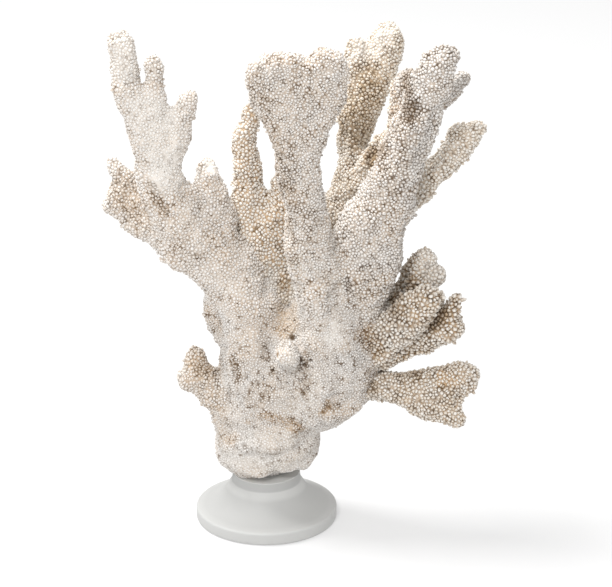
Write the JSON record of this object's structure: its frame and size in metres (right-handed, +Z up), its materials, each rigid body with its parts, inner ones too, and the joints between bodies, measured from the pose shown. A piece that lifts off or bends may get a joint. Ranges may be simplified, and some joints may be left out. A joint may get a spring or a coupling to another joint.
{
  "type": "branching coral on a stand",
  "caption": "Cream branching coral with flat beaded lobes, fingers and a forked fan on a thick trunk, set on a round frosted stand as a display piece.",
  "frame": {"origin": "centre of the stand's flat round underside", "axes": "+Z up, +Y away from the viewer, from the side with the forked fan to the side with the tan branch, +X to that viewer's right"},
  "size_m": [0.2106, 0.0943, 0.2857],
  "materials": {
    "coral_cream": "matte, beaded all over, grey-brown between the beads",
    "coral_warm": "matte, beaded all over, tan between the beads",
    "coral_tan": "matte, beaded all over, tan throughout",
    "frosted_stand": "frosted, translucent"
  },
  "bodies": {
    "root": {"stand": "frosted_stand", "trunk": "coral_cream", "left_branch": "coral_cream", "centre_fan": "coral_cream", "right_antler": "coral_cream", "back_blade": "coral_warm", "back_branch": "coral_tan", "right_finger": "coral_warm", "right_cluster": "coral_warm", "lower_branch": "coral_warm", "left_knob": "coral_cream"}
  },
  "joints": []
}
